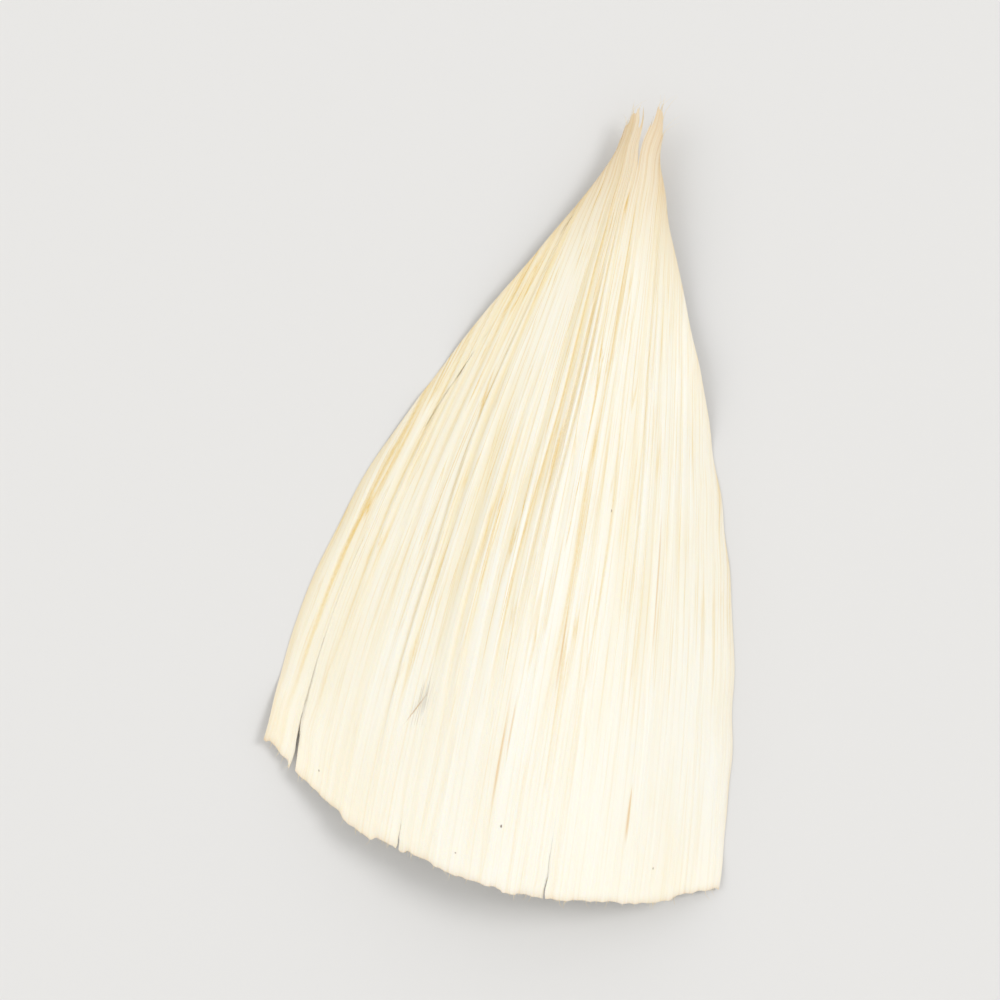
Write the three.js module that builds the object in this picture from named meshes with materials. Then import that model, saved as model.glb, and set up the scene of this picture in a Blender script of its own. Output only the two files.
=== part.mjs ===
// One dried corn husk: a single fan-shaped leaf, cut off across its wide end and narrowing to a ragged tip.
// It lies with its rounded back up, on its two side margins. Millimetres, +Z up, +Y towards the tip.
// Across the leaf u runs from -1 at the left margin to 1 at the right one.
// Along the leaf v runs from 0 at the cut to 1 at the tip.
import * as THREE from "three";

// Outline, as seen from above
const LENGTH = 216; // from the lowest point of the cut to the tip
const HALF_WIDTH = 61; // at the cut end
const TIP_HALF_WIDTH = 4.5;
const TIP_ROUNDING = 6; // how far the tip's corners stand back from its middle
const TIP_SLANT = 2.5; // and how much further the left one does
const TIP_LEAN = 15; // the tip bends this far to the right
const LEAN_POWER = 1.6;
const SHOULDER_POWER = 2.2; // higher keeps the leaf wide for longer
const TAPER_POWER = 1.4; // higher draws the tip out finer
const CUT_RADIUS = 118; // the cut is an arc, lowest to the right of the middle
const CUT_LOWEST_X = 18;

// Relief
const THICKNESS = 0.5;
const CROWN_HEIGHT = 23; // top of the rounded back at the cut end
const CROWN_SHIFT = 0.16; // the crown lies right of the middle, as a share of the half width
const BELL_POWER = 1.3; // how the back runs out flat into the margins
const BUTT_DROP = 0.2; // share of its height that the back loses where it lay round the cob's end
const BUTT_REACH = 0.24; // v where that drop ends
const TIP_LIFT = 9;
const TIP_TWIST = 5; // the tip's right side stands this much higher than its middle
const TIP_RISE_FROM = 0.58; // v where the tip starts to rise and twist
const BUCKLE_HEIGHT = 1.1; // long soft dents in the back, where two slanted waves meet
const BUCKLE_WAVES = [
  { along: 7.5, across: 3.2, start: 0 },
  { along: 2.1, across: 2.4, start: 0.6 },
];
const RIB_COUNT = 15;
const RIB_HEIGHT = 0.32;
const MARGIN_PRESS = 1; // the margins lie pressed flat for this height of the bell

// Margin waves: each lifts one side, -1 left or 1 right, by millimetres around a place v, over a reach in v
const MARGIN_WAVES = [
  { side: -1, at: 0.0, reach: 0.15, lift: 4.5 },
  { side: -1, at: 0.72, reach: 0.16, lift: 3.0 },
  { side: 1, at: 0.0, reach: 0.1, lift: 2.0 },
  { side: 1, at: 0.66, reach: 0.13, lift: 4.0 },
];
const MARGIN_WAVE_POWER = 5; // higher keeps a wave closer to its margin

// Facets
const COLUMNS = 60;
const ROWS = 30;
const COLUMN_STEP = 2 / COLUMNS;

// Splits in the cut: each has its place u, on a column of facets, half its mouth in u, and its depth
const CUT_SPLITS = [
  { at: -26 * COLUMN_STEP, mouth: 0.017, depth: 12 },
  { at: -11 * COLUMN_STEP, mouth: 0.012, depth: 6 },
  { at: 8 * COLUMN_STEP, mouth: 0.014, depth: 9 },
];
const TIP_SPLIT = { at: 0.2, mouth: 0.4, depth: 11 };

const HUSK_COLOUR = 0xf2e6c6;

/** Half of the leaf's width at v: wide over the first half, then drawn out to the tip. */
function halfWidth(v) {
  return TIP_HALF_WIDTH + (HALF_WIDTH - TIP_HALF_WIDTH) * (1 - v ** SHOULDER_POWER) ** TAPER_POWER;
}

/** A notch that is deepest at its middle and closes at its mouth's two corners. */
function split(notch, u) {
  return notch.depth * Math.max(0, 1 - Math.abs(u - notch.at) / notch.mouth);
}

/** The outline's y at the cut before it split, an arc. */
function cutEdge(u) {
  const fromLowest = u * HALF_WIDTH - CUT_LOWEST_X;
  return CUT_RADIUS - Math.sqrt(CUT_RADIUS ** 2 - fromLowest ** 2);
}

/** The outline's y at the tip before it split, rounded and slanted. */
function tipEdge(u) {
  return LENGTH - TIP_ROUNDING * u ** 2 + TIP_SLANT * (u - 1);
}

/** Draws the columns of facets beside each split in to its mouth, so that it is narrower than a facet. */
function drawnIn(u) {
  return CUT_SPLITS.reduce((drawn, notch) => {
    const away = u - notch.at;
    const beside = Math.max(0, 1 - Math.abs(Math.abs(away) / COLUMN_STEP - 1));
    return drawn - Math.sign(away) * beside * (COLUMN_STEP - notch.mouth);
  }, u);
}

/** The arched back: a bell across the leaf, scaled to the leaf's width at v and drawn in at the butt. */
function back(u, v) {
  const fromCrown = u + CROWN_SHIFT * (u ** 2 - 1);
  const bell = Math.max(0, 1 - fromCrown ** 2) ** BELL_POWER;
  const butt = 1 - BUTT_DROP * (1 - Math.min(1, v / BUTT_REACH)) ** 2;
  return (CROWN_HEIGHT * bell * butt * halfWidth(v)) / HALF_WIDTH;
}

/** What lifts the margins off the surface, a cosine hump for each wave. */
function marginWaves(u, v) {
  return MARGIN_WAVES.reduce((z, wave) => {
    const away = Math.min(1, Math.abs(v - wave.at) / wave.reach);
    const hump = (wave.lift * (1 + Math.cos(Math.PI * away))) / 2;
    return z + hump * Math.max(0, u * wave.side) ** MARGIN_WAVE_POWER;
  }, 0);
}

/** Long dents and the main ribs, both fading out at the margins. */
function relief(u, v) {
  const inside = 1 - u ** 2;
  const buckles = BUCKLE_WAVES.reduce(
    (height, wave) => height * Math.sin(wave.along * v + wave.across * u + wave.start),
    BUCKLE_HEIGHT,
  );
  const ribs = RIB_HEIGHT * Math.cos(Math.PI * RIB_COUNT * (u + 1));
  return (inside * (buckles + ribs) * halfWidth(v)) / HALF_WIDTH;
}

/** Height of the leaf's underside above the surface that it lies on. */
function underside(u, v) {
  const rise = THREE.MathUtils.smoothstep(v, TIP_RISE_FROM, 1);
  const tip = rise * (TIP_LIFT + (TIP_TWIST * u * halfWidth(v)) / HALF_WIDTH);
  return Math.max(0, back(u, v) + marginWaves(u, v) + relief(u, v) + tip - MARGIN_PRESS);
}

/** The leaf as a thin closed sheet: a flat box of many facets, each corner carried to its place. */
function huskGeometry() {
  const geometry = new THREE.BoxGeometry(2, 1, 1, COLUMNS, ROWS, 1);
  const corners = geometry.getAttribute("position");
  for (let i = 0; i < corners.count; i += 1) {
    const u = drawnIn(corners.getX(i));
    const row = corners.getY(i) + 0.5;
    const layer = corners.getZ(i) + 0.5;
    const start = CUT_SPLITS.reduce((y, notch) => y + split(notch, u), cutEdge(u));
    const end = tipEdge(u) - split(TIP_SPLIT, u);
    const y = THREE.MathUtils.lerp(start, end, row);
    const v = (y - cutEdge(u)) / (tipEdge(u) - cutEdge(u));
    const x = TIP_LEAN * v ** LEAN_POWER + u * halfWidth(v);
    corners.setXYZ(i, x, y, underside(u, v) + layer * THICKNESS);
  }
  geometry.computeVertexNormals();
  return geometry;
}

const huskMaterial = new THREE.MeshStandardMaterial({ color: HUSK_COLOUR, roughness: 0.75, metalness: 0 });
const husk = new THREE.Mesh(huskGeometry(), huskMaterial);
husk.name = "husk";

// The origin is under the middle of the leaf, on the surface that it lies on
husk.geometry.computeBoundingBox();
const middle = husk.geometry.boundingBox.getCenter(new THREE.Vector3());
husk.position.set(-middle.x, -middle.y, 0);

const driedCornHusk = new THREE.Group();
driedCornHusk.name = "dried_corn_husk";
driedCornHusk.add(husk);

export default driedCornHusk;
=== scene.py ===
"""A dried corn husk: one thin, ribbed leaf that lies on its two margins on a pale floor.

The leaf is a sheet worked out at places of two measures. u runs across it, from -1 at the left margin to
1 at the right one, and v runs along it, from 0 at the cut to 1 at the tip. A third measure, t, follows the
ribs: it is u at the cut, and further up the outer ribs run out at the margins. Lengths are in metres, with
+Y towards the tip and +Z up.
"""

import logging
import math
from dataclasses import dataclass
from enum import Enum
from typing import Any

import bpy
import numpy as np
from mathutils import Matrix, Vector

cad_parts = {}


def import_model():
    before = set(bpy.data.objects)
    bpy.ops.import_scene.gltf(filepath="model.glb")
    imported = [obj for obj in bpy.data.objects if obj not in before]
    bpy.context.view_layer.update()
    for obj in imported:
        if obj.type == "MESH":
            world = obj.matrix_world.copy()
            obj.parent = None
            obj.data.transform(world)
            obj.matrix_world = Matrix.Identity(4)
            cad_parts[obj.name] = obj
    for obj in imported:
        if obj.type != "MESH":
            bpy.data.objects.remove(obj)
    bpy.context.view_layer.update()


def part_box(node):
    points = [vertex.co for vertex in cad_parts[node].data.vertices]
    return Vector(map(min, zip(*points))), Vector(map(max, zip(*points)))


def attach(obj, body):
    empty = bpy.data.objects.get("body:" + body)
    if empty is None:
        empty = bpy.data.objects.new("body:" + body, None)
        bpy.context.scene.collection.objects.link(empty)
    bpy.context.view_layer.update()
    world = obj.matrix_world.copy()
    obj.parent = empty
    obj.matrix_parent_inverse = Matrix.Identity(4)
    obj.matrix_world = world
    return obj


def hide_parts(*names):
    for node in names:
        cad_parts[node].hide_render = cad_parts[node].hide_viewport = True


Array = np.ndarray
Pair = tuple[float, float]
Colour = tuple[float, float, float, float]

MM = 0.001
HUSK_NODE = "husk"
BODY = "root"
LEAF_MAP = "leaf"
NOISE_MIDDLE = 0.5

log = logging.getLogger("dried_corn_husk")


class Side(Enum):
    """A margin of the leaf, as the sign of u there."""

    LEFT = -1
    RIGHT = 1


class End(Enum):
    """An end of the leaf, as v there."""

    CUT = 0
    TIP = 1


class Tint(Enum):
    """What a measure stored on a piece's points stands for, as its attribute's name."""

    # golden tone, plus painted shade in the furrows between folds
    GOLD_AND_FURROW_SHADE = "gold"
    # tan veins, plus painted shade at the steep feet of the folds
    VEIN_AND_FOLD_SHADE = "vein"
    RIDGE = "ridge"
    EDGE = "edge"
    LINE = "line"
    SEAM = "seam"
    INNER = "inner"


class StainOrShade(Enum):
    """What a mark on the leaf is, a stain, a speck or painted shade by the crease, as the name of its colour
    in the finish.
    """

    STREAK = "amber"
    # painted shade: a brown line along the crease
    CREASE_SHADE = "brown"
    # painted shade: a grey patch beside the crease
    CREASE_GREY_SHADE = "grey"
    SPECK = "dark"


def smooth(low: float, high: float, value: Array) -> Array:
    """A soft step, 0 at low and 1 at high: 3s² - 2s³ of the share s between them."""
    share = np.clip((value - low) / (high - low), 0, 1)
    return share * share * (3 - 2 * share)


def bell(distance: Array, reach: float) -> Array:
    """A bell of height 1, about a third at its reach: the exponential of minus the square."""
    return np.exp(-((distance / reach) ** 2))


def srgb(red: int, green: int, blue: int) -> Colour:
    """A colour given as seen on a screen, 0 to 255, as the linear colour that a shader takes.

    Args:
        red: the red level.
        green: the green level.
        blue: the blue level.

    Returns:
        Linear red, green and blue, and an alpha of 1.
    """
    shares = np.array([red, green, blue]) / 255
    linear = np.where(shares <= 0.04045, shares / 12.92, ((shares + 0.055) / 1.055) ** 2.4)
    return (*linear.tolist(), 1.0)


@dataclass(frozen=True)
class Wander:
    """An uneven line of a height: sines with drawn phases, and pitches from slow to fast, in radians."""

    height: float
    slow: float
    fast: float
    seed: int
    waves: int = 7

    def at(self, place: Array) -> Array:
        """The sum of the sines over the root of their number, times the height.

        Args:
            place: where along the line.

        Returns:
            How high the line is at each place.
        """
        draw = np.random.default_rng(self.seed)
        pitch = draw.uniform(self.slow, self.fast, self.waves)
        phase = draw.uniform(0, 2 * np.pi, self.waves)
        return self.height * np.sin(place[..., None] * pitch + phase).sum(axis=-1) / math.sqrt(self.waves)


@dataclass(frozen=True)
class SlantWave:
    """A wave that runs slantwise over the leaf: its pitches along and across, in radians, and its start."""

    along: float
    across: float
    start: float = 0.0
    height: float = 1.0

    def at(self, across: Array, v: Array) -> Array:
        """The wave's height at a place: a sine of both measures."""
        return self.height * np.sin(self.along * v + self.across * across + self.start)


@dataclass(frozen=True)
class Rise:
    """A share that grows softly from 0 at one place to its gain at another."""

    low: float
    high: float
    gain: float

    def at(self, place: Array) -> Array:
        """The share at a place."""
        return self.gain * smooth(self.low, self.high, place)


class Shade:
    """A shader socket that takes part in Python arithmetic, each step of which adds a Math node."""

    def __init__(self, book: "NodeBook", socket: bpy.types.NodeSocket | None) -> None:
        """Wraps a socket of the tree that the book holds."""
        self.book = book
        self.socket = socket

    def _math(self, operation: str, first: Any, second: Any) -> "Shade":
        """Adds a Math node on two values, either of which may be a number."""
        return self.book.add("ShaderNodeMath", {"operation": operation}, {0: first, 1: second})

    def __add__(self, other: Any) -> "Shade":
        """self + other."""
        return self._math("ADD", self, other)

    def __radd__(self, other: Any) -> "Shade":
        """other + self."""
        return self._math("ADD", other, self)

    def __sub__(self, other: Any) -> "Shade":
        """self - other."""
        return self._math("SUBTRACT", self, other)

    def __rsub__(self, other: Any) -> "Shade":
        """other - self."""
        return self._math("SUBTRACT", other, self)

    def __mul__(self, other: Any) -> "Shade":
        """self * other."""
        return self._math("MULTIPLY", self, other)

    def __rmul__(self, other: Any) -> "Shade":
        """other * self."""
        return self._math("MULTIPLY", other, self)

    def __abs__(self) -> "Shade":
        """self without its sign."""
        return self.book.add("ShaderNodeMath", {"operation": "ABSOLUTE"}, {0: self})


@dataclass(frozen=True)
class Grain:
    """Noise drawn out along the ribs: the size of one lump across and along them."""

    across: float
    along: float


@dataclass(frozen=True)
class Mark:
    """A long mark on the leaf's map: its middle and half sizes across and along the ribs, in metres.

    It is turned by an angle from the ribs, clockwise, and covers the leaf by its strength. The more it
    frays, the further its edge breaks up into streaks.
    """

    stain_or_shade: StainOrShade
    middle: Pair
    half_sizes: Pair
    strength: float
    turn: float = 0.0
    fray: float = 0.8


class NodeBook:
    """The node tree of one material, and the ways to add to it."""

    GRAIN_DETAIL = 2.0
    GRAIN_ROUGHNESS = 0.55
    SEAM_LEVEL = 0.53
    SEAM_REACH = 0.028
    MARK_CORE = 0.2

    def __init__(self, name: str) -> None:
        """Starts an empty tree for a new material of that name."""
        self.material = bpy.data.materials.new(name)
        self.material.use_nodes = True
        self.tree = self.material.node_tree
        self.tree.nodes.clear()

    def add(self, kind: str, settings: dict[str, Any], sockets: dict[Any, Any], output: int = 0) -> Shade:
        """Adds one node.

        Args:
            kind: the node's type.
            settings: the node's own properties, set first.
            sockets: a number, a colour or a Shade for each input, by name or index.
            output: index of the output to hand back.

        Returns:
            The chosen output, which holds no socket on a node that has none.
        """
        node = self.tree.nodes.new(kind)
        for name, value in settings.items():
            setattr(node, name, value)
        for key, value in sockets.items():
            if isinstance(value, Shade):
                self.tree.links.new(value.socket, node.inputs[key])
            else:
                node.inputs[key].default_value = value
        return Shade(self, node.outputs[output] if node.outputs else None)

    def measure(self, tint: Tint) -> Shade:
        """A measure stored on the piece's points."""
        return self.add("ShaderNodeAttribute", {"attribute_name": tint.value}, {}, output=2)

    def mix(self, factor: Any, first: Any, second: Any) -> Shade:
        """A colour that goes from the first to the second as the factor goes from 0 to 1."""
        settings = {"data_type": "RGBA", "clamp_factor": True}
        return self.add("ShaderNodeMix", settings, {0: factor, 6: first, 7: second}, output=2)

    def step(self, value: Shade, low: float, high: float) -> Shade:
        """A soft step from 0 at low to 1 at high."""
        sockets = {0: value, 1: low, 2: high, 3: 0.0, 4: 1.0}
        return self.add("ShaderNodeMapRange", {"interpolation_type": "SMOOTHSTEP"}, sockets)

    def grain(self, place: Shade, grain: Grain) -> Shade:
        """Noise drawn out along the ribs.

        Args:
            place: where on the surface, in metres across and along.
            grain: the size of its lumps.

        Returns:
            A value around a half.
        """
        stretch = (1 / grain.across, 1 / grain.along, 1.0)
        scaled = self.add("ShaderNodeVectorMath", {"operation": "MULTIPLY"}, {0: place, 1: stretch})
        layers = {"Detail": self.GRAIN_DETAIL, "Roughness": self.GRAIN_ROUGHNESS}
        sockets = {"Vector": scaled, "Scale": 1.0, **layers}
        return self.add("ShaderNodeTexNoise", {"noise_dimensions": "2D"}, sockets)

    def seams(self, place: Shade, grain: Grain) -> Shade:
        """Thin lines that run with the ribs, part and meet again: where drawn-out noise passes a level.

        Args:
            place: where on the surface, in metres across and along.
            grain: about how far apart the lines are, and how long one is.

        Returns:
            A share, 1 on a line and 0 off it.
        """
        away = abs(self.grain(place, grain) - self.SEAM_LEVEL)
        return self.step(away, self.SEAM_REACH, 0.0)

    def cover(self, place: Shade, mark: Mark, fray: Shade) -> Shade:
        """How far a mark covers a place: a soft step of the distance from its middle, in its half sizes.

        Args:
            place: where on the leaf's map.
            mark: the mark.
            fray: noise that makes the mark's edge uneven.

        Returns:
            A share from 0 to the mark's strength.
        """
        frame = {1: (*mark.middle, 0.0), 2: (0.0, 0.0, -mark.turn), 3: (*mark.half_sizes, 1.0)}
        laid = self.add("ShaderNodeMapping", {"vector_type": "TEXTURE"}, {"Vector": place, **frame})
        away = self.add("ShaderNodeVectorMath", {"operation": "LENGTH"}, {0: laid}, output=1)
        return mark.strength * self.step(away + mark.fray * (fray - NOISE_MIDDLE), 1.0, self.MARK_CORE)

    def close(self, surface: Shade) -> bpy.types.Material:
        """Joins the surface to the material's output.

        Args:
            surface: the shader that the material shows.

        Returns:
            The finished material.
        """
        self.add("ShaderNodeOutputMaterial", {}, {"Surface": surface})
        return self.material


@dataclass(frozen=True)
class HuskFinish:
    """Dry husk: ivory to golden cream, tan veins and amber streaks, painted fold and crease shade, matt, a
    little light through it.
    """

    ivory: Colour = srgb(246, 242, 229)
    cream: Colour = srgb(238, 222, 184)
    tan: Colour = srgb(228, 195, 122)
    amber: Colour = srgb(216, 168, 92)
    # brown: worn edges, and painted shade along the crease
    brown: Colour = srgb(188, 146, 92)
    # grey: painted shade beside the crease
    grey: Colour = srgb(150, 142, 132)
    dark: Colour = srgb(92, 64, 40)
    pale: Colour = srgb(247, 242, 227)
    clouds: Grain = Grain(14 * MM, 60 * MM)
    cloud_share: float = 0.5
    bands: Grain = Grain(3.2 * MM, 110 * MM)
    band_share: float = 0.4
    lines: Grain = Grain(0.7 * MM, 45 * MM)
    line_levels: Pair = (0.52, 0.76)
    threads: Grain = Grain(0.26 * MM, 12 * MM)
    dots: Grain = Grain(0.38 * MM, 1.2 * MM)
    wide_seams: Grain = Grain(5.5 * MM, 170 * MM)
    fine_seams: Grain = Grain(2.4 * MM, 80 * MM)
    fine_seam_share: float = 0.6
    fading: Grain = Grain(3 * MM, 35 * MM)
    fading_levels: Pair = (0.38, 0.6)
    vein_least: float = 0.3
    seam_least: float = 0.5
    edge_least: float = 0.25
    edge_lines: float = 0.7
    inner_share: float = 0.5
    line_bump: float = 0.5
    thread_bump: float = 0.3
    dot_bump: float = 0.2
    seam_bump: float = 0.8
    bump_strength: float = 0.5
    bump_depth: float = 0.12 * MM
    roughness: float = 0.6
    thread_roughness: float = 0.16
    ridge_polish: float = 0.06
    gloss: float = 0.3
    glow: float = 0.18
    glow_depth: float = 0.9 * MM
    glow_spread: tuple[float, float, float] = (1.0, 0.72, 0.42)
    marks: tuple[Mark, ...] = (
        Mark(StainOrShade.STREAK, (-0.3 * MM, 32.6 * MM), (0.5 * MM, 20 * MM), 0.5),
        Mark(StainOrShade.STREAK, (1.3 * MM, 40 * MM), (0.4 * MM, 12 * MM), 0.4),
        Mark(StainOrShade.STREAK, (35 * MM, 22.8 * MM), (0.5 * MM, 9 * MM), 0.6),
        Mark(StainOrShade.STREAK, (37.2 * MM, 85 * MM), (0.4 * MM, 26 * MM), 0.5),
        Mark(StainOrShade.STREAK, (11.3 * MM, 63 * MM), (0.4 * MM, 17 * MM), 0.5),
        # painted shade by the crease: a grey patch and a brown line along it
        Mark(StainOrShade.CREASE_GREY_SHADE, (-23.4 * MM, 40 * MM), (2.0 * MM, 6 * MM), 0.32, math.radians(4), fray=4.0),
        Mark(StainOrShade.CREASE_SHADE, (-24.6 * MM, 37.5 * MM), (0.28 * MM, 6.5 * MM), 0.6, math.radians(22)),
        Mark(StainOrShade.SPECK, (2.9 * MM, 15.5 * MM), (0.4 * MM, 0.6 * MM), 0.9),
        Mark(StainOrShade.SPECK, (-46.4 * MM, 6 * MM), (0.3 * MM, 0.45 * MM), 0.7),
        Mark(StainOrShade.SPECK, (20.1 * MM, 102 * MM), (0.25 * MM, 0.6 * MM), 0.7),
        Mark(StainOrShade.SPECK, (-7.5 * MM, 5.5 * MM), (0.3 * MM, 0.35 * MM), 0.6),
        Mark(StainOrShade.SPECK, (43 * MM, 9 * MM), (0.3 * MM, 0.5 * MM), 0.5),
    )

    def colour(
        self, book: NodeBook, place: Shade, grains: tuple[Shade, Shade, Shade], seams: Shade
    ) -> Shade:
        """The colour: ivory, golden in bands, with tan lines, veins and seams, worn edges and marks on it,
        and painted shade in fold furrows, at fold feet and by the crease.

        Args:
            book: the material's tree.
            place: where on the leaf's map.
            grains: noise in lines, threads and dots.
            seams: how far a place lies on a thin fold line.

        Returns:
            The colour.
        """
        lines, threads, dots = grains
        clouds = book.grain(place, self.clouds)
        bands = book.grain(place, self.bands)
        # golden tone from the measure and noise; the measure also carries painted shade in the fold furrows
        golden = book.measure(Tint.GOLD_AND_FURROW_SHADE) + self.cloud_share * (clouds - NOISE_MIDDLE)
        golden = golden + self.band_share * (bands - NOISE_MIDDLE)
        lined = book.measure(Tint.LINE) * book.step(lines, *self.line_levels)
        # tan veins, with painted shade at the steep feet of the folds
        veined_and_shaded = book.measure(Tint.VEIN_AND_FOLD_SHADE) * (self.vein_least + dots)
        worn = book.measure(Tint.EDGE) * (self.edge_least + self.edge_lines * lines)
        colour = book.mix(golden, self.ivory, self.cream)
        colour = book.mix(self.inner_share * book.measure(Tint.INNER), colour, self.pale)
        for share in (lined, veined_and_shaded, seams * (self.seam_least + dots)):
            colour = book.mix(share, colour, self.tan)
        colour = book.mix(worn, colour, self.brown)
        for mark in self.marks:
            # marks are stains and specks, and painted shade by the crease
            colour = book.mix(book.cover(place, mark, threads), colour, getattr(self, mark.stain_or_shade.value))
        return colour

    def material(self, name: str) -> bpy.types.Material:
        """Builds the material from a piece's map and the measures on its points.

        Args:
            name: the material's name.

        Returns:
            The material.
        """
        book = NodeBook(name)
        place = book.add("ShaderNodeUVMap", {"uv_map": LEAF_MAP}, {})
        lines = book.grain(place, self.lines)
        threads = book.grain(place, self.threads)
        dots = book.grain(place, self.dots)
        fading = book.step(book.grain(place, self.fading), *self.fading_levels)
        fine_seams = self.fine_seam_share * book.seams(place, self.fine_seams)
        seams = book.measure(Tint.SEAM) * fading * (book.seams(place, self.wide_seams) + fine_seams)
        height = self.line_bump * lines + self.thread_bump * threads + self.dot_bump * dots
        height = height - self.seam_bump * seams
        relief = {"Strength": self.bump_strength, "Distance": self.bump_depth, "Height": height}
        rough = self.roughness + self.thread_roughness * (threads - NOISE_MIDDLE)
        sockets = {
            "Base Color": self.colour(book, place, (lines, threads, dots), seams),
            "Roughness": rough - self.ridge_polish * book.measure(Tint.RIDGE),
            "Normal": book.add("ShaderNodeBump", {}, relief),
            "Specular IOR Level": self.gloss,
            "Subsurface Weight": self.glow,
            "Subsurface Radius": self.glow_spread,
            "Subsurface Scale": self.glow_depth,
        }
        return book.close(book.add("ShaderNodeBsdfPrincipled", {}, sockets))


@dataclass(frozen=True)
class FloorFinish:
    """A pale, matt studio floor."""

    colour: Colour = srgb(220, 219, 217)
    shadow: Colour = srgb(205, 203, 200)
    cloud_scale: float = 3.0
    cloud_share: float = 0.06
    roughness: float = 0.85

    def material(self, name: str) -> bpy.types.Material:
        """Builds the floor's material, a hardly seen cloudiness in one colour.

        Args:
            name: the material's name.

        Returns:
            The material.
        """
        book = NodeBook(name)
        place = book.add("ShaderNodeTexCoord", {}, {}, output=3)
        clouds = book.add("ShaderNodeTexNoise", {}, {"Vector": place, "Scale": self.cloud_scale})
        colour = book.mix(self.cloud_share * clouds, self.colour, self.shadow)
        sockets = {"Base Color": colour, "Roughness": self.roughness}
        return book.close(book.add("ShaderNodeBsdfPrincipled", {}, sockets))


@dataclass(frozen=True)
class MarginWave:
    """A soft wave that lifts one margin off the floor around a place v, over a reach in v."""

    side: Side
    at: float
    reach: float
    lift: float


@dataclass(frozen=True)
class Split:
    """A tear that runs in from an edge, at a place u, with half its slit in u and its depth.

    Its lips bend apart by the gape, and one stands a step higher than the other. They meet where the tear
    ends. On its way in it swings to both sides by the crook. The reaches are shares of the depth.
    """

    at: float
    slit: float
    depth: float
    gape: float
    step: float
    crook: float = 0.0
    closing_power: float = 1.5
    lip_reach: float = 0.7
    crook_reach: float = 0.4
    crook_end: float = 1.2

    def columns(self) -> Array:
        """Places u that the mesh needs to show the slit."""
        return self.at + self.slit * np.array((-1, -0.5, 0, 0.5, 1))

    def reach(self, u: Array) -> Array:
        """How far the tear reaches in at u: its depth at its middle, falling to nothing across its slit."""
        return self.depth * np.clip(1 - np.abs(u - self.at) / self.slit, 0, 1)

    def lips(self, u: Array, inward: Array, half_width: float) -> tuple[Array, Array]:
        """How far a place beside the tear is lifted and moved aside.

        The lips part, a half to each side, by a power of what is left of the tear's depth, times a bell of
        the distance beside it. The way in swings by one sine of it, dying out beside the tear and past it.

        Args:
            u: places across the leaf.
            inward: distances from the edge that the tear runs in from.
            half_width: half of the leaf's width at that edge.

        Returns:
            The lift and the way aside.
        """
        beside = (u - self.at) * half_width
        left = np.clip(1 - inward / self.depth, 0, 1) ** self.closing_power
        parting = np.sign(beside) * left * bell(beside, self.lip_reach * self.depth) / 2
        near = bell(beside, self.crook_reach * self.depth) * bell(inward, self.crook_end * self.depth)
        swing = self.crook * np.sin(2 * np.pi * inward / self.depth) * near
        return self.step * parting, self.gape * parting + swing


@dataclass(frozen=True)
class Tab:
    """A stretch of the cut that stands out by a height around a place u, or back if that is less than 0.

    Its sides run from an inner to an outer place, in half widths.
    """

    at: float
    half_width: float
    height: float
    inner: float = 0.85
    outer: float = 1.25

    def drop(self, u: Array) -> Array:
        """How far the cut stands out at u: flat across the tab, with a soft step at each of its sides."""
        return self.height * smooth(self.outer, self.inner, np.abs(u - self.at) / self.half_width)


@dataclass(frozen=True)
class Crease:
    """A short, sharp dent from one point of the leaf to another, hardly dented at its ends."""

    start: Pair
    end: Pair
    half_width: float
    depth: float
    end_phase: float = 0.06

    def groove(self, x: Array, y: Array) -> Array:
        """How deep in the crease a place lies: a bell of its distance to the line, fading at its ends.

        Args:
            x: places across the leaf.
            y: places along it.

        Returns:
            A share from 0 to 1 for each place.
        """
        start = np.array(self.start)
        way = np.array(self.end) - start
        share = np.clip(((x - start[0]) * way[0] + (y - start[1]) * way[1]) / (way @ way), 0, 1)
        distance = np.hypot(x - start[0] - share * way[0], y - start[1] - share * way[1])
        phase = self.end_phase + (1 - 2 * self.end_phase) * share
        return bell(distance, self.half_width) * np.sin(np.pi * phase)


def put_mesh(name: str, points: Array, quads: Array) -> bpy.types.Object:
    """Makes a mesh object from whole arrays.

    Args:
        name: the object's name.
        points: one row of x, y, z for each point.
        quads: one row of four point numbers for each face, counter-clockwise from outside.

    Returns:
        The object, linked to the scene.
    """
    mesh = bpy.data.meshes.new(name)
    mesh.vertices.add(len(points))
    mesh.vertices.foreach_set("co", points.astype(np.float32).ravel())
    mesh.loops.add(quads.size)
    mesh.loops.foreach_set("vertex_index", quads.astype(np.int32).ravel())
    mesh.polygons.add(len(quads))
    mesh.polygons.foreach_set("loop_start", np.arange(0, quads.size, 4, dtype=np.int32))
    mesh.polygons.foreach_set("use_smooth", np.ones(len(quads), dtype=bool))
    mesh.update(calc_edges=True)
    piece = bpy.data.objects.new(name, mesh)
    bpy.context.scene.collection.objects.link(piece)
    return piece


def store(mesh: bpy.types.Mesh, tint: Tint, values: Array) -> None:
    """Keeps one measure on a mesh's points.

    Args:
        mesh: the mesh.
        tint: what the measure stands for.
        values: one number for each point.
    """
    measure = mesh.attributes.new(tint.value, "FLOAT", "POINT")
    measure.data.foreach_set("value", values.astype(np.float32).ravel())


def lay_map(mesh: bpy.types.Mesh, places: Array, quads: Array) -> None:
    """Gives a mesh the leaf's map.

    Args:
        mesh: the mesh.
        places: metres across and along the ribs for each point.
        quads: the mesh's faces.
    """
    corners = places.reshape(-1, 2)[quads.ravel()]
    mesh.uv_layers.new(name=LEAF_MAP).data.foreach_set("uv", corners.astype(np.float32).ravel())


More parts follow.
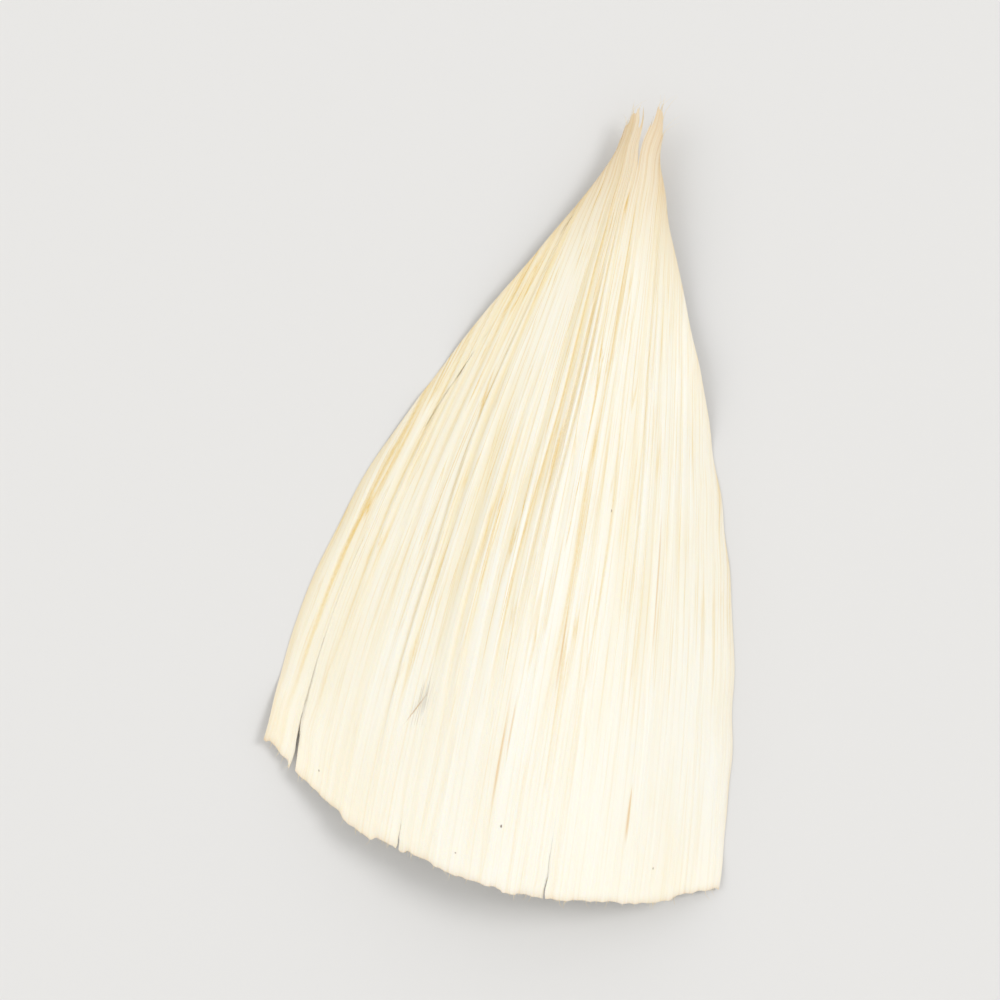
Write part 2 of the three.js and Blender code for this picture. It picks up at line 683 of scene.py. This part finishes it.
def grid_quads(rows: int, columns: int, first: int = 0) -> Array:
    """Faces of a grid of points stored row by row.

    Args:
        rows: number of rows of points.
        columns: number of points in a row.
        first: number of the first point.

    Returns:
        One row of four point numbers for each face, counter-clockwise if columns run right and rows run up.
    """
    numbers = first + np.arange(rows * columns).reshape(rows, columns)
    corners = (numbers[:-1, :-1], numbers[:-1, 1:], numbers[1:, 1:], numbers[1:, :-1])
    return np.stack(corners, axis=-1).reshape(-1, 4)


@dataclass
class LeafForm:
    """The leaf's outline and broad form: a fan with an arched back, waved margins and a lifted tip."""

    length: float = 216 * MM
    half_width: float = 61 * MM
    tip_half_width: float = 4.5 * MM
    tip_rounding: float = 6 * MM
    tip_slant: float = 2.5 * MM
    tip_lean: float = 15 * MM
    lean_power: float = 1.6
    shoulder_power: float = 2.2
    taper_power: float = 1.4
    cut_radius: float = 118 * MM
    cut_lowest_x: float = 18 * MM
    crown_height: float = 23 * MM
    crown_shift: float = 0.16
    bell_power: float = 1.3
    butt_drop: float = 0.2
    butt_reach: float = 0.24
    tip_lift: float = 9 * MM
    tip_twist: float = 5 * MM
    tip_rise_from: float = 0.58
    buckle_height: float = 1.1 * MM
    buckle_waves: tuple[SlantWave, SlantWave] = (SlantWave(7.5, 3.2), SlantWave(2.1, 2.4, 0.6))
    margin_press: float = 1 * MM
    press_softness: float = 0.3 * MM
    margin_wave_power: float = 5
    waves: tuple[MarginWave, ...] = (
        MarginWave(Side.LEFT, 0.0, 0.15, 4.5 * MM),
        MarginWave(Side.LEFT, 0.72, 0.16, 3.0 * MM),
        MarginWave(Side.RIGHT, 0.0, 0.1, 2.0 * MM),
        MarginWave(Side.RIGHT, 0.66, 0.13, 4.0 * MM),
    )

    def half_width_at(self, v: Array) -> Array:
        """Half of the leaf's width: wide over the first half, then drawn out to the tip by two powers."""
        taper = np.clip(1 - v**self.shoulder_power, 0, 1) ** self.taper_power
        return self.tip_half_width + (self.half_width - self.tip_half_width) * taper

    def cut_edge(self, u: Array) -> Array:
        """y of the cut before it split, an arc that is lowest to the right of the middle."""
        from_lowest = u * self.half_width - self.cut_lowest_x
        return self.cut_radius - np.sqrt(self.cut_radius**2 - from_lowest**2)

    def tip_edge(self, u: Array) -> Array:
        """y of the tip before it split, rounded and slanted."""
        return self.length - self.tip_rounding * u**2 + self.tip_slant * (u - 1)

    def middle_line(self, v: Array) -> Array:
        """x of the leaf's middle, which bends to the right by a power of v."""
        return self.tip_lean * v**self.lean_power

    def back(self, u: Array, v: Array) -> Array:
        """The arched back: a bell across the leaf, scaled to its width at v and drawn in at the butt.

        Args:
            u: places across the leaf.
            v: places along it.

        Returns:
            The back's height.
        """
        from_crown = u + self.crown_shift * (u**2 - 1)
        arch = np.clip(1 - from_crown**2, 0, 1) ** self.bell_power
        butt = 1 - self.butt_drop * (1 - np.clip(v / self.butt_reach, 0, 1)) ** 2
        return self.crown_height * arch * butt * self.half_width_at(v) / self.half_width

    def margin_waves(self, u: Array, v: Array) -> Array:
        """What lifts the margins off the floor: a cosine hump along v for each wave, by a power of u.

        Args:
            u: places across the leaf.
            v: places along it.

        Returns:
            The height that the waves add.
        """
        height = np.zeros_like(u)
        for wave in self.waves:
            away = np.clip(np.abs(v - wave.at) / wave.reach, 0, 1)
            hump = wave.lift * (1 + np.cos(np.pi * away)) / 2
            height = height + hump * np.clip(u * wave.side.value, 0, 1) ** self.margin_wave_power
        return height

    def buckles(self, u: Array, v: Array) -> Array:
        """Long soft dents: two slanted waves, one times the other, fading out at the margins."""
        dents = math.prod(wave.at(u, v) for wave in self.buckle_waves)
        return self.buckle_height * dents * (1 - u**2) * self.half_width_at(v) / self.half_width

    def tip_rise(self, u: Array, v: Array) -> Array:
        """What lifts and twists the tip: a soft step of v, with more on the right."""
        twist = self.tip_twist * u * self.half_width_at(v) / self.half_width
        return smooth(self.tip_rise_from, 1, v) * (self.tip_lift + twist)

    def height(self, u: Array, v: Array, lips: Array) -> Array:
        """Height of the underside over the floor.

        The sum of the back, waves, buckles, tip and lips, less what presses the margins down, is kept above
        the floor by a soft corner: half of the sum and of the root of its square plus a small square.

        Args:
            u: places across the leaf.
            v: places along it.
            lips: height that the splits add there.

        Returns:
            The height.
        """
        risen = self.back(u, v) + self.margin_waves(u, v) + self.buckles(u, v) + self.tip_rise(u, v)
        free = risen + lips - self.margin_press
        return (free + np.sqrt(free**2 + self.press_softness**2)) / 2


@dataclass
class LeafRelief:
    """What the surface carries: lengthwise folds, fine ribs, and crinkles by the cut."""

    form: LeafForm
    fold_count: int = 29
    fold_height: float = 1.3 * MM
    fold_sway: float = 0.013
    fold_sway_waves: tuple[SlantWave, SlantWave] = (SlantWave(7, 5), SlantWave(17, -9, height=0.5))
    fold_growth: float = 0.4
    fold_ending: float = 0.3
    fold_right_share: float = 0.3
    foot_place: float = 0.86
    foot_reach: float = 0.13
    foot_least: float = 0.12
    rib_count: int = 84
    rib_height: float = 0.15 * MM
    rib_reach: float = 0.5
    rib_swell: float = 0.25
    rib_swell_pitch: float = 9
    rib_ending: Rise = Rise(0.92, 0.7, 1)
    rib_tan_pitch: float = 5.2
    rib_tan_levels: Pair = (-0.6, 0.7)
    rib_tan_place: float = 0.3
    rib_tan_reach: float = 0.34
    rib_tip_share: float = 0.22
    rib_power: float = 1.7
    cell_stray: float = 0.3
    stray_pitches: Pair = (0.11, 0.27)
    stray_start: float = 0.7
    stray_share: float = 0.7
    crinkle_height: float = 0.06 * MM
    crinkle_length: float = 4.2 * MM
    crinkle_reach: float = 9 * MM
    crinkle_stray: Wander = Wander(2.6, 6, 25, seed=5)
    seed: int = 11

    def __post_init__(self) -> None:
        """Draws what differs from rib to rib and from fold to fold, with fainter folds on the right."""
        draw = np.random.default_rng(self.seed)
        self.rib_share = draw.uniform(0.35, 1.0, self.rib_count)
        self.rib_tan = draw.uniform(0, 1, self.rib_count) ** 2
        self.rib_phase = draw.uniform(0, 2 * np.pi, self.rib_count)
        place = np.linspace(-1, 1, self.fold_count)
        sharper = self.fold_right_share + (1 - self.fold_right_share) * smooth(0.8, 0.1, place)
        self.fold_share = draw.uniform(0.1, 1.0, self.fold_count) * sharper
        self.fold_peak = draw.uniform(-0.6, 0.6, self.fold_count)
        self.fold_from = draw.uniform(0.0, 0.3, self.fold_count)
        self.fold_end = draw.uniform(0.7, 1.2, self.fold_count)
        self.foot_vein_and_shade = draw.uniform(0.1, 1, self.fold_count) * sharper

    def spread(self, v: Array) -> Array:
        """Width of the whole set of ribs, as a share of that at the cut: it shrinks less than the leaf."""
        return 1 - (1 - self.rib_tip_share) * v**self.rib_power

    def follow(self, u: Array, v: Array) -> Array:
        """The measure t across the ribs at a place of the leaf."""
        return u * self.form.half_width_at(v) / (self.form.half_width * self.spread(v))

    def cells(self, t: Array, count: int) -> tuple[Array, Array]:
        """Parts t into uneven cells, one for each rib or fold, whose sides stray by two sines of t.

        Args:
            t: places across the ribs.
            count: number of cells.

        Returns:
            The cell's number, and the place across it from -1 to 1.
        """
        turns = count * np.pi * t
        slow = np.sin(self.stray_pitches[0] * turns + self.stray_start)
        fast = self.stray_share * np.sin(self.stray_pitches[1] * turns)
        uneven = (t + 1) / 2 * count + self.cell_stray * (slow + fast)
        number = np.clip(np.floor(uneven).astype(int), 0, count - 1)
        return number, 2 * np.clip(uneven - number, 0, 1) - 1

    def folds(self, t: Array, v: Array) -> tuple[Array, Array, Array]:
        """Lengthwise folds: humps across t, steeper on one side, that come in and end at a v of their own.

        Each hump is a soft step up to its peak times a soft step down from it, and its steeper foot is tan:
        partly a vein, partly painted shade on the fold's steep side.

        Args:
            t: places across the ribs.
            v: places along the leaf.

        Returns:
            The height, how tan the foot of each fold is as vein and painted shade, and how deep in a furrow
            a place lies.
        """
        swayed = t + self.fold_sway * sum(wave.at(t, v) for wave in self.fold_sway_waves)
        number, across = self.cells(swayed, self.fold_count)
        peak = self.fold_peak[number]
        grown = smooth(0, self.fold_growth, v - self.fold_from[number])
        grown = grown * smooth(0, self.fold_ending, self.fold_end[number] - v)
        hump = smooth(-1, peak, across) * (1 - smooth(peak, 1, across))
        height = self.fold_height * self.spread(v) * self.fold_share[number] * grown * hump
        # the steep foot of each fold: a tan vein, darker as painted shade where the fold has grown
        foot = bell(across - self.foot_place * np.sign(peak), self.foot_reach)
        foot = foot * (self.foot_least + (1 - self.foot_least) * grown)
        # how deep between folds a place lies, which LeafTints turns into painted shade
        furrow = self.fold_share[number] * grown * (1 - hump)
        return height, self.foot_vein_and_shade[number] * foot, furrow

    def ribs(self, t: Array, v: Array) -> tuple[Array, Array, Array]:
        """Fine ribs: narrow bells across t, each of its own height, coming and going along the leaf.

        Args:
            t: places across the ribs.
            v: places along the leaf.

        Returns:
            The height, the share of a ridge, and how tan it is.
        """
        number, across = self.cells(t, self.rib_count)
        phase = self.rib_phase[number]
        ending = self.rib_ending.at(v)
        swell = 1 - self.rib_swell + self.rib_swell * np.sin(self.rib_swell_pitch * v + phase)
        ridge = bell(across, self.rib_reach) * swell * ending
        height = self.rib_height * self.spread(v) * self.rib_share[number] * ridge
        fade = smooth(*self.rib_tan_levels, np.sin(self.rib_tan_pitch * v + 2 * phase)) * ending
        beside = bell(across - self.rib_tan_place, self.rib_tan_reach)
        return height, ridge, self.rib_tan[number] * fade * beside

    def crinkles(self, t: Array, from_cut: Array) -> Array:
        """Small waves that run across the ribs and die out away from the cut."""
        phase = 2 * np.pi * from_cut / self.crinkle_length + self.crinkle_stray.at(t)
        return self.crinkle_height * np.sin(phase) * np.exp(-from_cut / self.crinkle_reach)


@dataclass(frozen=True)
class LeafTints:
    """How far each tint lies over the leaf: by the ribs' measure t, along it by v, and at its edges."""

    gold_least: float = 0.06
    gold_left: Rise = Rise(0.1, -0.95, 0.3)
    gold_right: Rise = Rise(0.2, 0.9, 0.08)
    gold_tip: Rise = Rise(0.5, 1, 0.4)
    # painted shade: how much more golden the furrows between folds are
    painted_furrow_shade: float = 0.7
    # share of fold feet: veins and painted shade on the folds' steep sides
    foot_vein_and_shade_share: float = 0.85
    rib_vein: float = 0.32
    line_least: float = 0.12
    line_rise: Rise = Rise(0.08, 0.45, 0.3)
    seam_least: float = 0.1
    seam_rise: Rise = Rise(0.05, 0.5, 0.6)
    seam_right: float = 0.35
    seam_left: Rise = Rise(0.7, -0.05, 0.65)
    cut_wear: float = 0.6
    cut_wear_depth: float = 0.7 * MM
    margin_wear: float = 0.35
    margin_wear_depth: float = 1.2 * MM
    tip_wear: Rise = Rise(0.75, 1, 0.6)

    def gold(self, t: Array, v: Array, furrow: Array) -> Array:
        """How golden a place is: more at the left, a little at the right and at the tip, plus painted shade
        in the furrows.
        """
        sides = self.gold_left.at(t) + self.gold_right.at(t)
        return self.gold_least + sides + self.gold_tip.at(v) + self.painted_furrow_shade * furrow

    def vein(self, foot_vein_and_shade: Array, rib_tan: Array) -> Array:
        """How tan the folds and ribs are: rib veins, and fold feet that are partly veins and partly painted
        shade.
        """
        return np.clip(self.foot_vein_and_shade_share * foot_vein_and_shade + self.rib_vein * rib_tan, 0, 1)

    def line(self, v: Array) -> Array:
        """How strong the faint lines are: more away from the cut."""
        return self.line_least + self.line_rise.at(v)

    def seam(self, t: Array, v: Array) -> Array:
        """How strong the thin fold lines are: more away from the cut and less at the right."""
        return (self.seam_least + self.seam_rise.at(v)) * (self.seam_right + self.seam_left.at(t))

    def edge(self, from_cut: Array, from_margin: Array, v: Array) -> Array:
        """How worn a place is: less and less away from the cut and the margins, and more towards the tip.

        Args:
            from_cut: distances from the cut.
            from_margin: distances from the nearer margin.
            v: places along the leaf.

        Returns:
            A share from 0 to 1.
        """
        cut = self.cut_wear * np.exp(-from_cut / self.cut_wear_depth)
        margin = self.margin_wear * np.exp(-from_margin / self.margin_wear_depth)
        return np.clip(cut + margin + self.tip_wear.at(v), 0, 1)


@dataclass
class Sheet:
    """The leaf worked out at some places: where it is, how thick, and what its points carry."""

    x: Array
    y: Array
    lower: Array
    upper: Array
    across: Array
    along: Array
    tints: dict[Tint, Array]

    def face(self, height: Array) -> Array:
        """Points of one face, as x, y and its height."""
        return np.stack((self.x, self.y, height), axis=-1)

    def places(self) -> Array:
        """The leaf's map, in metres across and along the ribs."""
        return np.stack((self.across, self.along), axis=-1)


@dataclass
class HuskLeaf:
    """The leaf as one closed sheet of uneven thickness, with its tabs, splits and crease."""

    start: Pair
    form: LeafForm
    relief: LeafRelief
    finish: HuskFinish
    tinting: LeafTints = LeafTints()
    thickness: float = 0.3 * MM
    butt_thickness: float = 0.2 * MM
    butt_reach: float = 22 * MM
    margin_thinning: float = 0.5
    thinning_power: int = 12
    cut_fray: Wander = Wander(0.16 * MM, 20, 160, seed=3)
    tip_fray: float = 1.6 * MM
    tip_stray: Wander = Wander(1.0, 3, 14, seed=8)
    margin_stray: Wander = Wander(0.22 * MM, 9, 60, seed=21)
    margin_stray_power: int = 9
    margin_difference: float = 0.3
    sharp_angle: float = math.radians(55)
    columns: int = 440
    rows: int = 104
    row_power: float = 1.35
    cut_splits: tuple[Split, ...] = (
        Split(-26 / 30, 0.003, 18 * MM, 1.5 * MM, 1.3 * MM, 0.5 * MM),
        Split(-11 / 30, 0.002, 4.5 * MM, 0.5 * MM, -0.5 * MM, 0.2 * MM),
        Split(8 / 30, 0.002, 8 * MM, 0.35 * MM, 0.9 * MM, -0.3 * MM),
    )
    tip_split: Split = Split(0.2, 0.06, 17 * MM, 2.6 * MM, 2.2 * MM, 0.4 * MM)
    tabs: tuple[Tab, ...] = (
        Tab(-0.93, 0.05, -1.4 * MM),
        Tab(-0.55, 0.075, 1.3 * MM),
        Tab(-0.27, 0.06, -0.7 * MM),
        Tab(0.12, 0.03, 0.6 * MM),
        Tab(0.48, 0.1, -0.5 * MM),
        Tab(0.9, 0.09, -1.2 * MM),
    )
    crease: Crease = Crease((-25.7 * MM, 39.7 * MM), (-19.8 * MM, 49.3 * MM), 0.6 * MM, 0.35 * MM)

    def cut_line(self, u: Array) -> Array:
        """y of the cut as it is: the arc, its tabs and splits and the uneven ends of the ribs."""
        uneven = self.cut_fray.at(u) - sum(tab.drop(u) for tab in self.tabs)
        return self.form.cut_edge(u) + uneven + sum(split.reach(u) for split in self.cut_splits)

    def tip_line(self, u: Array) -> Array:
        """y of the tip as it is: rounded, split and frayed into uneven ends."""
        frayed = self.tip_fray * self.tip_stray.at(u) ** 2
        return self.form.tip_edge(u) - self.tip_split.reach(u) - frayed

    def grid(self) -> tuple[Array, Array]:
        """Places of the mesh's points: even columns, more at the splits, and rows that close up at the cut.

        Returns:
            u, and the share of the way from the cut to the tip, each as rows by columns.
        """
        slits = [split.columns() for split in (*self.cut_splits, self.tip_split)]
        columns = np.unique(np.concatenate((np.linspace(-1, 1, self.columns + 1), *slits)))
        return np.meshgrid(columns, np.linspace(0, 1, self.rows + 1) ** self.row_power)

    def thick(self, u: Array, from_cut: Array) -> Array:
        """The leaf's thickness: more at the butt, and thinned to its margins by a power of u."""
        even = self.thickness + self.butt_thickness * np.exp(-from_cut / self.butt_reach)
        return even * (1 - self.margin_thinning * np.abs(u) ** self.thinning_power)

    def sheet(self, u: Array, share: Array) -> Sheet:
        """Works out the leaf.

        Args:
            u: places across the leaf.
            share: shares of the way from the cut to the tip.

        Returns:
            The leaf at those places.
        """
        form = self.form
        cut = self.cut_line(u)
        y = cut + (self.tip_line(u) - cut) * share
        from_cut = y - form.cut_edge(u)
        to_tip = form.tip_edge(u) - y
        v = np.clip(from_cut / (from_cut + to_tip), 0, 1)
        half = form.half_width_at(v)
        stray = self.margin_stray.at(v * (1 + self.margin_difference * np.sign(u)))
        stray = stray * np.abs(u) ** self.margin_stray_power
        moves = [split.lips(u, from_cut, form.half_width) for split in self.cut_splits]
        moves.append(self.tip_split.lips(u, to_tip, form.tip_half_width))
        lips, aside = (sum(parts) for parts in zip(*moves))
        x = form.middle_line(v) + u * half + stray + aside
        t = self.relief.follow(u, v)
        fold_height, foot_vein_and_shade, furrow = self.relief.folds(t, v)
        rib_height, ridge, rib_tan = self.relief.ribs(t, v)
        dent = self.crease.depth * self.crease.groove(x, y)
        raised = fold_height + rib_height + self.relief.crinkles(t, from_cut) - dent
        lower = np.maximum(0, form.height(u, v, lips) + raised)
        tints = {
            Tint.GOLD_AND_FURROW_SHADE: self.tinting.gold(t, v, furrow),
            Tint.VEIN_AND_FOLD_SHADE: self.tinting.vein(foot_vein_and_shade, rib_tan),
            Tint.LINE: self.tinting.line(v),
            Tint.SEAM: self.tinting.seam(t, v),
            Tint.RIDGE: ridge,
            Tint.EDGE: self.tinting.edge(y - cut, (1 - np.abs(u)) * half, v),
        }
        return Sheet(
            x=x + self.start[0],
            y=y + self.start[1],
            lower=lower,
            upper=lower + self.thick(u, from_cut),
            across=t * form.half_width,
            along=v * form.length,
            tints=tints,
        )

    def build(self) -> bpy.types.Object:
        """Makes the leaf as a closed mesh: an upper and a lower face on one grid, joined by a rim.

        Returns:
            The leaf's object, dressed in its finish.
        """
        sheet = self.sheet(*self.grid())
        rows, columns = sheet.x.shape
        count = rows * columns
        numbers = np.arange(count).reshape(rows, columns)
        sides = (numbers[0, :-1], numbers[:-1, -1], numbers[-1, :0:-1], numbers[:0:-1, 0])
        round_edge = np.concatenate(sides)
        onward = np.roll(round_edge, -1)
        rim = np.stack((round_edge + count, onward + count, onward, round_edge), axis=-1)
        faces = (grid_quads(rows, columns), grid_quads(rows, columns, count)[:, ::-1], rim)
        quads = np.concatenate(faces)
        points = np.concatenate((sheet.face(sheet.upper), sheet.face(sheet.lower))).reshape(-1, 3)
        leaf = put_mesh("husk_leaf", points, quads)
        for tint, values in sheet.tints.items():
            store(leaf.data, tint, np.tile(values.ravel(), 2))
        store(leaf.data, Tint.INNER, np.repeat((0.0, 1.0), count))
        lay_map(leaf.data, np.tile(sheet.places().reshape(-1, 2), (2, 1)), quads)
        leaf.data.set_sharp_from_angle(angle=self.sharp_angle)
        leaf.data.materials.append(self.finish.material("dry_husk"))
        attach(leaf, BODY)
        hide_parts(HUSK_NODE)
        return leaf


@dataclass
class FrayedFibres:
    """Loose ends of the ribs at the cut and the tip: thin tapering tubes with four sides that bend away."""

    leaf: HuskLeaf
    cut_count: int = 130
    tip_count: int = 22
    cut_lengths: Pair = (0.3 * MM, 2.4 * MM)
    cut_length_power: int = 3
    tip_lengths: Pair = (1.5 * MM, 7 * MM)
    radii: Pair = (0.05 * MM, 0.1 * MM)
    rooted: float = 0.2
    step_in: float = 0.02
    swing: float = 0.35
    droop: float = 0.25
    end_share: float = 0.25
    steps: int = 6
    gold: float = 0.6
    wear: float = 0.4
    seed: int = 29
    place_seed: int = 36

    def strands(self, u: Array, end: End, lengths: Array) -> tuple[Array, Array]:
        """Tubes that carry the leaf on past one of its ends.

        A strand's middle line starts inside the leaf, runs straight out and swings aside and down by the
        square of the way, and its radius shrinks evenly.

        Args:
            u: a place across the leaf for each strand.
            end: the end of the leaf.
            lengths: the strands' lengths.

        Returns:
            Points by strand, step and side, and the leaf's map there.
        """
        draw = np.random.default_rng(self.seed + end.value)
        inward = self.step_in if end is End.CUT else -self.step_in
        root = self.leaf.sheet(u, np.full_like(u, end.value))
        inside = self.leaf.sheet(u, np.full_like(u, end.value + inward))
        base = root.face((root.lower + root.upper) / 2)
        way = base - inside.face((inside.lower + inside.upper) / 2)
        way = way / np.linalg.norm(way, axis=-1, keepdims=True)
        aside = np.cross(way, (0, 0, 1))
        aside = aside / np.linalg.norm(aside, axis=-1, keepdims=True)
        above = np.cross(aside, way)

        share = np.linspace(-self.rooted, 1, self.steps + 1)[None, :, None]
        free = np.clip(share, 0, 1)
        length = lengths[:, None, None]
        bends = draw.normal(0, self.swing, (len(u), 1, 1)) * aside[:, None]
        bends = bends + draw.normal(-self.droop, self.droop, (len(u), 1, 1)) * above[:, None]
        line = base[:, None] + length * (share * way[:, None] + free**2 * bends)
        radius = draw.uniform(*self.radii, (len(u), 1, 1)) * (1 - (1 - self.end_share) * free)
        turns = np.array(((1, 0), (0, 1), (-1, 0), (0, -1)))
        ring = turns[:, :1] * aside[:, None, None] + turns[:, 1:] * above[:, None, None]
        points = line[:, :, None] + radius[:, :, None] * ring
        points[..., 2] = np.maximum(points[..., 2], 0)
        onward = share * length
        shift = np.stack((np.zeros_like(onward), onward), axis=-1)
        return points, np.broadcast_to(root.places()[:, None, None] + shift, (*points.shape[:3], 2))

    def quads(self, count: int) -> Array:
        """Faces of the tubes: walls between each ring and the next, and a cap at each end.

        Args:
            count: number of strands.

        Returns:
            One row of four point numbers for each face.
        """
        numbers = np.arange(count * (self.steps + 1) * 4).reshape(count, self.steps + 1, 4)
        onward = np.roll(numbers, -1, axis=2)
        walls = np.stack((numbers[:, :-1], onward[:, :-1], onward[:, 1:], numbers[:, 1:]), axis=-1)
        caps = np.concatenate((numbers[:, 0, ::-1], numbers[:, -1]))
        return np.concatenate((walls.reshape(-1, 4), caps))

    def build(self) -> bpy.types.Object:
        """Makes all strands as one mesh, most of those at the cut short.

        Returns:
            The strands' object, dressed in the leaf's finish.
        """
        draw = np.random.default_rng(self.place_seed)
        shortest, longest = self.cut_lengths
        cut_lengths = draw.uniform(0, 1, self.cut_count) ** self.cut_length_power
        cut_lengths = shortest + (longest - shortest) * cut_lengths
        tip_lengths = draw.uniform(*self.tip_lengths, self.tip_count)
        cut, cut_places = self.strands(draw.uniform(-1, 1, self.cut_count), End.CUT, cut_lengths)
        tip, tip_places = self.strands(draw.uniform(-1, 1, self.tip_count), End.TIP, tip_lengths)
        points = np.concatenate((cut, tip))
        quads = self.quads(len(points))
        fibres = put_mesh("frayed_fibres", points.reshape(-1, 3), quads)
        lay_map(fibres.data, np.concatenate((cut_places, tip_places)), quads)
        for tint, level in {Tint.GOLD_AND_FURROW_SHADE: self.gold, Tint.EDGE: self.wear}.items():
            store(fibres.data, tint, np.full(points.size // 3, level))
        fibres.data.materials.append(self.leaf.finish.material("frayed_husk"))
        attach(fibres, BODY)
        return fibres


@dataclass(frozen=True)
class Lamp:
    """A far, soft light: which way it hangs from the leaf, the angle that it fills and its strength."""

    name: str
    place: tuple[float, float, float]
    width: float
    strength: float


@dataclass
class Studio:
    """The pale floor, the soft lights and the camera that looks down on the leaf."""

    middle: Vector
    aim: Pair = (-9 * MM, -6 * MM)
    floor_half: float = 4.0
    floor_flat: float = 1.6
    floor_rise: float = 1.3
    floor_points: int = 81
    floor_drop: float = 0.1 * MM
    key: Lamp = Lamp("key", (0.62, 0.25, 0.8), math.radians(24), 1.05)
    fill: Lamp = Lamp("fill", (-0.8, -0.1, 0.6), math.radians(50), 0.74)
    surroundings: float = 0.74
    frame_height: float = 0.262
    lens: float = 85.0
    sensor: float = 36.0
    elevation: float = math.radians(80)
    lean: float = math.radians(8)
    finish: FloorFinish = FloorFinish()

    def lay_floor(self) -> bpy.types.Object:
        """A floor that is flat around the leaf and sweeps up far from it, by a soft step of the distance.

        Returns:
            The floor.
        """
        ends = np.linspace(-self.floor_half, self.floor_half, self.floor_points)
        x, y = np.meshgrid(ends, ends)
        sweep = self.floor_rise * smooth(self.floor_flat, self.floor_half, np.hypot(x, y))
        points = np.stack((x, y, sweep - self.floor_drop), axis=-1).reshape(-1, 3)
        floor = put_mesh("floor", points, grid_quads(self.floor_points, self.floor_points))
        floor.data.materials.append(self.finish.material("pale_floor"))
        return floor

    def hang(self, lamp: Lamp) -> None:
        """Hangs a light that lights the whole floor alike.

        Args:
            lamp: the light.
        """
        sun = bpy.data.lights.new(lamp.name, "SUN")
        sun.angle = lamp.width
        sun.energy = lamp.strength
        light = bpy.data.objects.new(lamp.name, sun)
        light.location = self.middle + Vector(lamp.place)
        light.rotation_euler = (-Vector(lamp.place)).to_track_quat("-Z", "Y").to_euler()
        bpy.context.scene.collection.objects.link(light)

    def light(self) -> None:
        """A key from the right that shows the folds, a wide fill from the left, and pale surroundings."""
        self.hang(self.key)
        self.hang(self.fill)
        world = bpy.data.worlds.new("studio")
        world.use_nodes = True
        background = world.node_tree.nodes["Background"]
        background.inputs["Color"].default_value = (1.0, 1.0, 1.0, 1.0)
        background.inputs["Strength"].default_value = self.surroundings
        bpy.context.scene.world = world
        bpy.context.scene.view_settings.view_transform = "Standard"

    def set_camera(self) -> None:
        """A long lens that looks down on the leaf from its cut end, turned so that the tip leans right."""
        lens = bpy.data.cameras.new("camera")
        lens.lens = self.lens
        lens.sensor_width = self.sensor
        distance = self.frame_height * self.lens / self.sensor
        flat = math.cos(self.elevation)
        aside = flat * math.sin(self.lean)
        back = -flat * math.cos(self.lean)
        away = Vector((aside, back, math.sin(self.elevation)))
        camera = bpy.data.objects.new("camera", lens)
        camera.location = self.middle + Vector((*self.aim, 0)) + distance * away
        camera.rotation_euler = (-away).to_track_quat("-Z", "Y").to_euler()
        bpy.context.scene.collection.objects.link(camera)
        bpy.context.scene.camera = camera


def main() -> None:
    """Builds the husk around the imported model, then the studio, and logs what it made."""
    logging.basicConfig(level=logging.INFO, format="%(name)s: %(message)s")
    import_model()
    low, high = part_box(HUSK_NODE)
    form = LeafForm()
    start = ((low.x + high.x) / 2, low.y)
    leaf = HuskLeaf(start, form, LeafRelief(form), HuskFinish())
    for piece in (leaf.build(), FrayedFibres(leaf).build()):
        log.info("%s: %d faces", piece.name, len(piece.data.polygons))
    studio = Studio(middle=(low + high) / 2)
    floor = studio.lay_floor()
    log.info("%s: laid", floor.name)
    studio.light()
    studio.set_camera()


if __name__ == "__main__":
    main()
